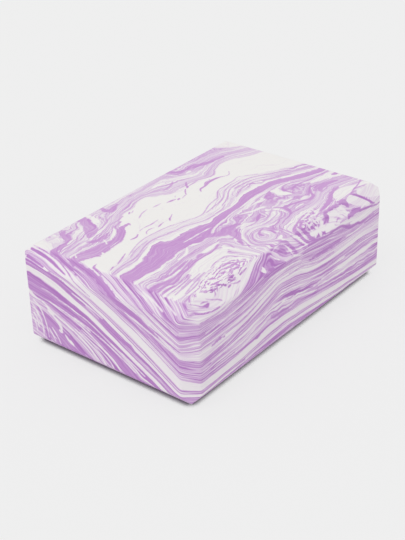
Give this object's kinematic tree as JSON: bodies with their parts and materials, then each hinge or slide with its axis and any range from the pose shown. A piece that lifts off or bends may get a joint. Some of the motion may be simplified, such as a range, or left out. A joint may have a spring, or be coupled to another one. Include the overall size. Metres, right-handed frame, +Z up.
{
  "type": "yoga block",
  "caption": "Rectangular foam yoga block with bevelled edges, marbled in white and violet, used flat, on its side or on its end to raise a hand, foot or seat.",
  "frame": {"origin": "middle of the large face that the block lies on", "axes": "+X along the longest side, +Y across from the front long side to the back one, +Z up through the thickness"},
  "size_m": [0.23, 0.15, 0.075],
  "materials": {
    "white_foam": "matte",
    "violet_foam": "matte"
  },
  "bodies": {
    "root": {"violet_sheet_1": "violet_foam", "white_sheet_1": "white_foam", "violet_sheet_2": "violet_foam", "white_sheet_2": "white_foam", "violet_sheet_3": "violet_foam", "white_sheet_3": "white_foam", "violet_sheet_4": "violet_foam", "white_sheet_4": "white_foam", "violet_sheet_5": "violet_foam", "white_sheet_5": "white_foam", "violet_sheet_6": "violet_foam", "white_sheet_6": "white_foam", "white_knot_near": "white_foam", "violet_knot_middle": "violet_foam", "violet_knot_edge": "violet_foam", "white_knot_far": "white_foam"}
  },
  "joints": []
}
